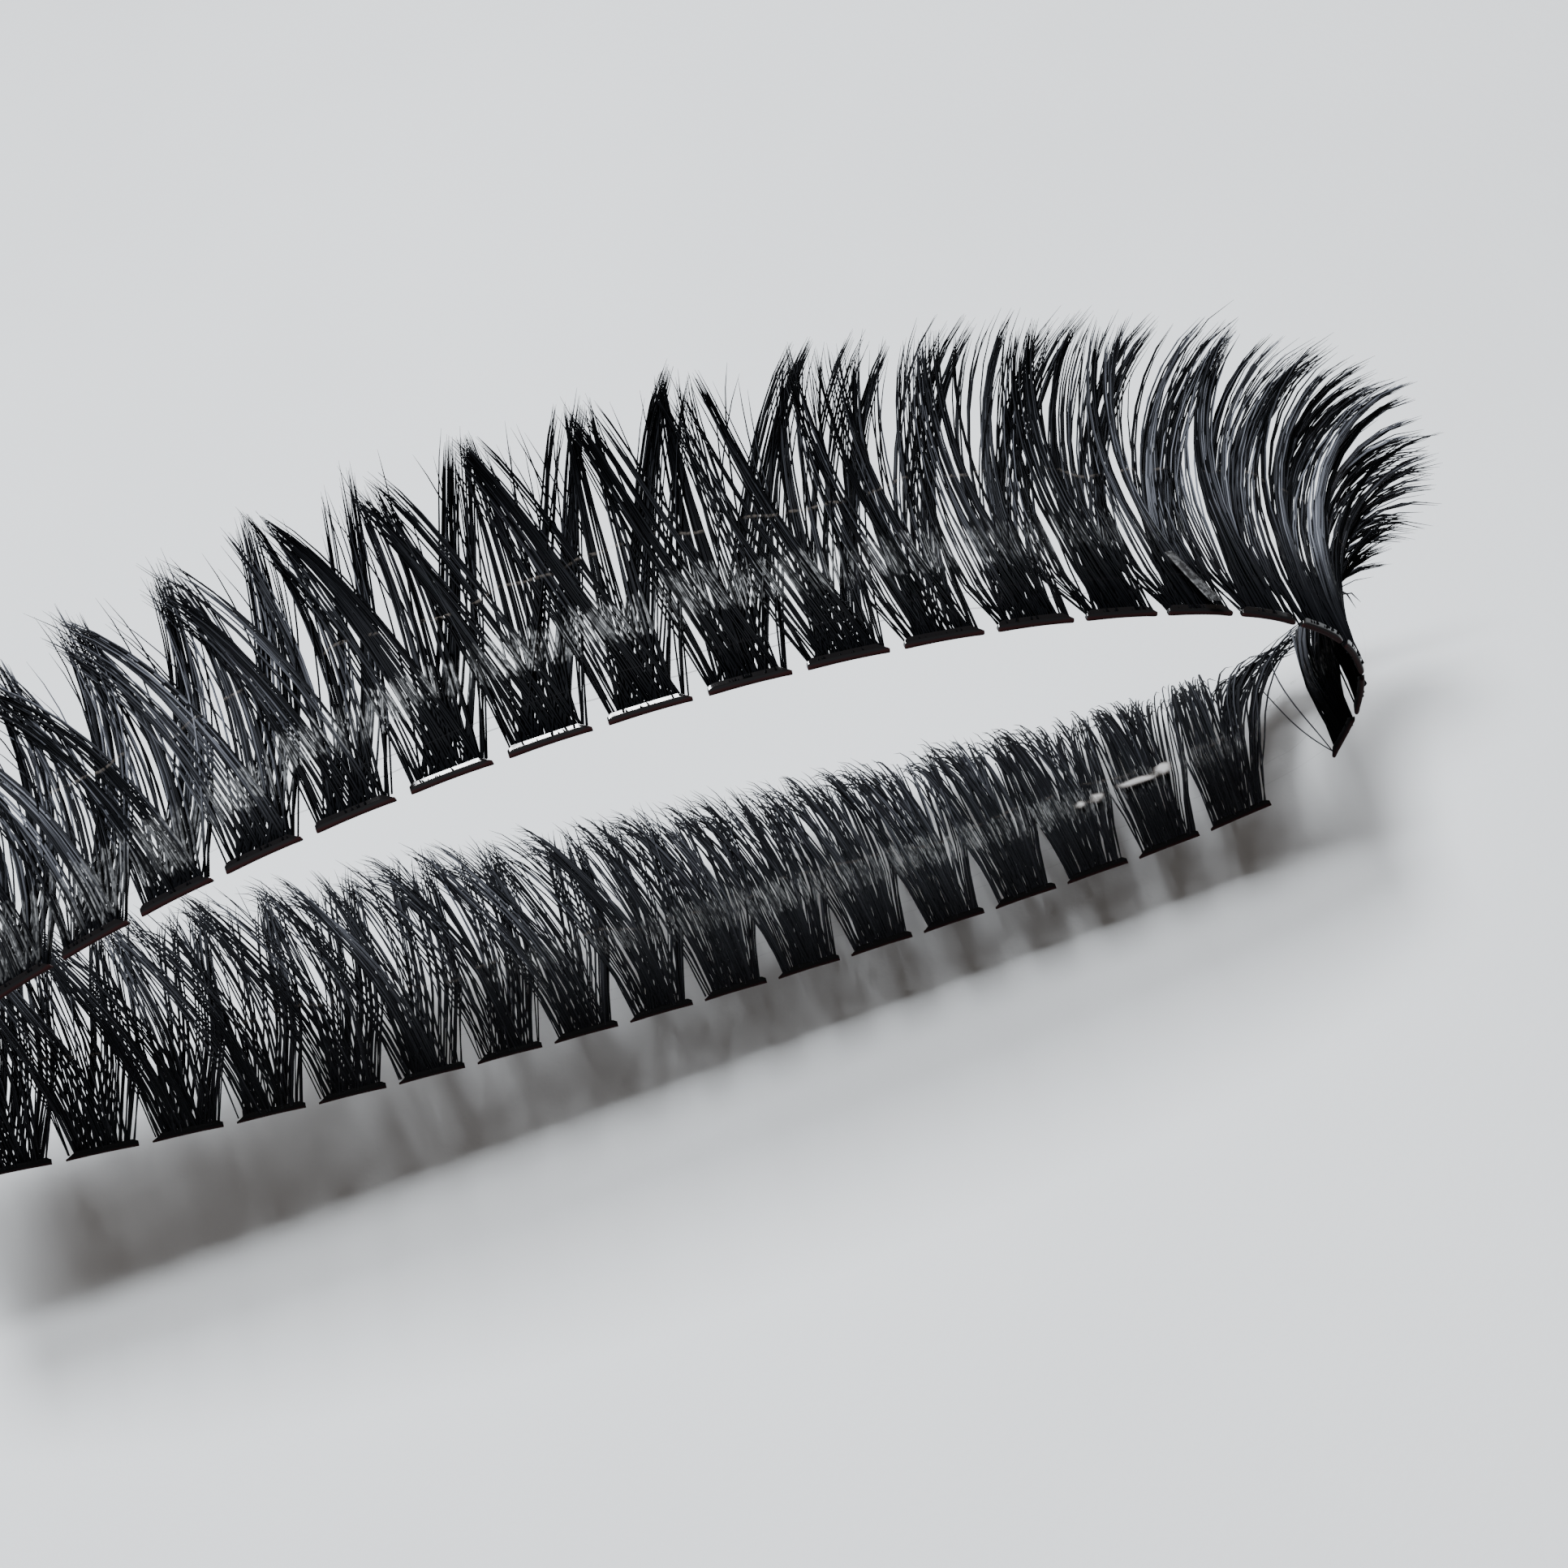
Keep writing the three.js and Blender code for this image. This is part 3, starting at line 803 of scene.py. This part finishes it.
# %% [markdown]
# A scrap of film.
#
# Near the bend a corner of the film is torn and stands off the root of a fan. It is rubbed grey and
# speckled, so it has a finish of its own, and it is the same kind of thin shell as the bands.

# %% Make the scrap
SCRAP_GREY = (0.050, 0.052, 0.055, 1)
SCRAP_DARK = (0.012, 0.012, 0.013, 1)
SCRAP_OPACITY = 0.55
SPECKLE_OPACITY = 0.4
SCRAP_LOW = (92.4, 93.25, 0.15)  # left end, right end and height of its lower edge
SCRAP_HIGH = (91.05, 91.65, 3.4)
SCRAP_RINGS = 14
SCRAP_ROWS = 6
SCRAP_OFFSET = 0.98
SCRAP_BULGE = 0.12
scrap_finish, shader, wire = finish("rubbed_film")
speckle = wire.noise(scale=4000.0, detail=3.0).step(low=0.42, high=0.60)
set_sockets(shader, wire,
            Base_Color=speckle.blend(SCRAP_DARK, SCRAP_GREY),
            Roughness=0.6,
            Alpha=SCRAP_OPACITY + speckle * SPECKLE_OPACITY)


def scrap_shell():
    """An outline that goes across one face and back on the other, carried upwards. Its two ends
    move evenly from the lower edge to the upper one, and it bulges in the middle, more so higher
    up."""
    up = np.linspace(0, 1, SCRAP_RINGS)[:, None]
    across = np.linspace(1, 0, SCRAP_ROWS + 1)
    across = np.concatenate([across, across[::-1]])
    face = np.repeat([-1, 1], SCRAP_ROWS + 1)
    left, right, t = [low + (high - low) * up for low, high in zip(SCRAP_LOW, SCRAP_HIGH)]
    s = left + (right - left) * across
    n = SCRAP_OFFSET + SCRAP_BULGE * np.sin(np.pi * across) * up + face * FILM_THICKNESS / 2
    return tube(bend(s, np.broadcast_to(t, s.shape), n)[None], finish=0)


scrap = sew("film_scrap", [scrap_shell()], [scrap_finish])
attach(scrap, "root")
print("scrap:", len(scrap.data.polygons), "faces")

# %% [markdown]
# The floor.
#
# The strip is held just above a sheet of plain pale paper. A flat plane is enough for its shape,
# and a faint cloudiness and a fine tooth keep it from looking like plastic.

# %% Paper floor
FLOOR_LEVEL = -27.4
FLOOR_HALF = 700.0
PAPER_LIGHT = (0.66, 0.68, 0.70, 1)
PAPER_DARK = (0.63, 0.65, 0.67, 1)
paper, shader, wire = finish("pale_paper")
cloud = wire.noise(scale=25.0, detail=3.0).step(low=0.3, high=0.7)
tooth = wire.noise(scale=1500.0, detail=3.0)
set_sockets(shader, wire,
            Base_Color=cloud.blend(PAPER_DARK, PAPER_LIGHT),
            Roughness=0.85,
            Normal=tooth.bump(strength=0.15, distance=0.0002))
corners = np.array([(-1, -1), (1, -1), (1, 1), (-1, 1)]) * FLOOR_HALF
floor_points = np.column_stack([corners, np.full(len(corners), FLOOR_LEVEL)]) * METRES
floor_mesh = bpy.data.meshes.new("floor")
floor_mesh.from_pydata(floor_points.tolist(), [], [(0, 1, 2, 3)])
floor_mesh.materials.append(paper)
floor = bpy.data.objects.new("floor", floor_mesh)
bpy.context.scene.collection.objects.link(floor)
print("floor at", FLOOR_LEVEL, "mm")

# %% [markdown]
# The light.
#
# A warm, pale room lights everything softly. A square softbox, the key, stands behind and above the
# strip and throws the soft shadow that falls beside the lower arm. A long strip light hangs higher
# and further forward, where the undercut bars mirror it; it is just long enough for three bars to
# catch it, and turned a little to follow them.

# %% Room and softboxes
ROOM_COLOUR = (1.0, 0.88, 0.79, 1)
ROOM_STRENGTH = 0.18
LIGHT_COLOUR = (0.95, 0.975, 1.0)
LIGHTS = [  # name, place, width, height, turn about the vertical in degrees, watts
    ("key", (28.0, 72.0, 320.0), 70.0, 70.0, 0.0, 2.0),
    ("strip", (30.0, 9.0, 447.0), 216.0, 28.0, -7.1, 2.3),
]
world = bpy.data.worlds.new("room")
world.use_nodes = True
room = world.node_tree.nodes["Background"]
room.inputs["Color"].default_value = ROOM_COLOUR
room.inputs["Strength"].default_value = ROOM_STRENGTH
bpy.context.scene.world = world
for name, at, light_width, light_height, light_turn, watts in LIGHTS:
    light = bpy.data.lights.new(name, "AREA")
    light.shape = "RECTANGLE"
    light.size = light_width * METRES
    light.size_y = light_height * METRES
    light.energy = watts
    light.color = LIGHT_COLOUR
    holder = bpy.data.objects.new(name, light)
    holder.location = Vector(at) * METRES
    holder.rotation_euler.z = np.radians(light_turn)
    bpy.context.scene.collection.objects.link(holder)
print("lights:", [row[0] for row in LIGHTS])

# %% [markdown]
# The camera.
#
# The view looks steeply down at the loop from in front, tilted a little, as a phone is held close
# to a small thing. The field of view is that of a 41 mm lens on a 36 mm square.

# %% Camera
CAMERA_AT = Vector((63.9, -46.5, 90.8))
CAMERA_VIEW = Vector((-0.0107, 0.4889, -0.8723))
CAMERA_UP = Vector((0.3403, 0.8220, 0.4566))
CAMERA_LENS = 41.0
CAMERA_SENSOR = 36.0
CAMERA_NEAREST = 5.0
back = -CAMERA_VIEW.normalized()
right = CAMERA_UP.cross(back).normalized()
camera_data = bpy.data.cameras.new("camera")
camera_data.lens = CAMERA_LENS
camera_data.sensor_width = CAMERA_SENSOR
camera_data.clip_start = CAMERA_NEAREST * METRES
camera = bpy.data.objects.new("camera", camera_data)
camera_turn = Matrix((right, back.cross(right), back)).transposed().to_4x4()
camera.matrix_world = Matrix.Translation(CAMERA_AT * METRES) @ camera_turn
bpy.context.scene.collection.objects.link(camera)
bpy.context.scene.camera = camera
print("camera at", [round(value, 1) for value in CAMERA_AT], "mm")

# %% [markdown]
# Sizes.
#
# The dressed strip has to keep the size of its solids.
